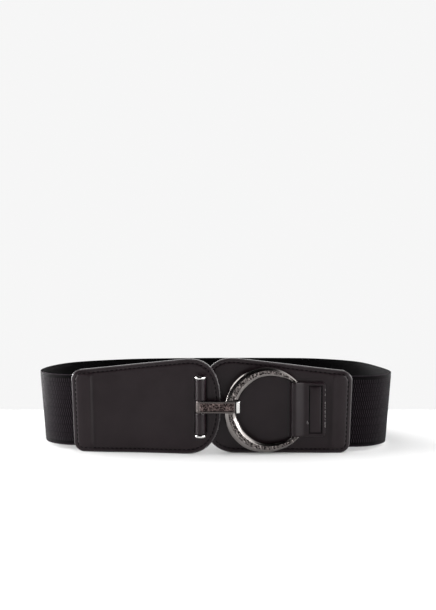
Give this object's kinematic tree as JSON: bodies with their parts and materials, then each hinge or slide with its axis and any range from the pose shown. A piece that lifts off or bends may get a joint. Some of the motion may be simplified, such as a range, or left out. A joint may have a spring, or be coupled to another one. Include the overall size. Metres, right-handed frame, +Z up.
{
  "type": "elastic stretch belt",
  "caption": "Wide black elastic stretch belt with tapered leather panels, T-hook and hammered crescent ring, buckled in a loop and standing on its edge.",
  "frame": {"origin": "middle of the bounding box at floor height, under the middle of the loop", "axes": "+X along the width of the loop, to the right as seen from the front; +Y from the clasp to the back; +Z up"},
  "size_m": [0.305, 0.16, 0.0802],
  "materials": {
    "elastic_webbing": "matte ribbed weave",
    "panel_leather": "smooth, low sheen",
    "gunmetal": "hammered gunmetal with polished bevels",
    "polished_metal": "polished gunmetal"
  },
  "bodies": {
    "root": {"elastic_band": "elastic_webbing", "left_panel": "panel_leather", "right_panel": "panel_leather", "hook_rod": "polished_metal", "upper_rod_loop": "panel_leather", "lower_rod_loop": "panel_leather", "hook": "gunmetal", "ring": "gunmetal", "ring_tab": "panel_leather"}
  },
  "joints": []
}
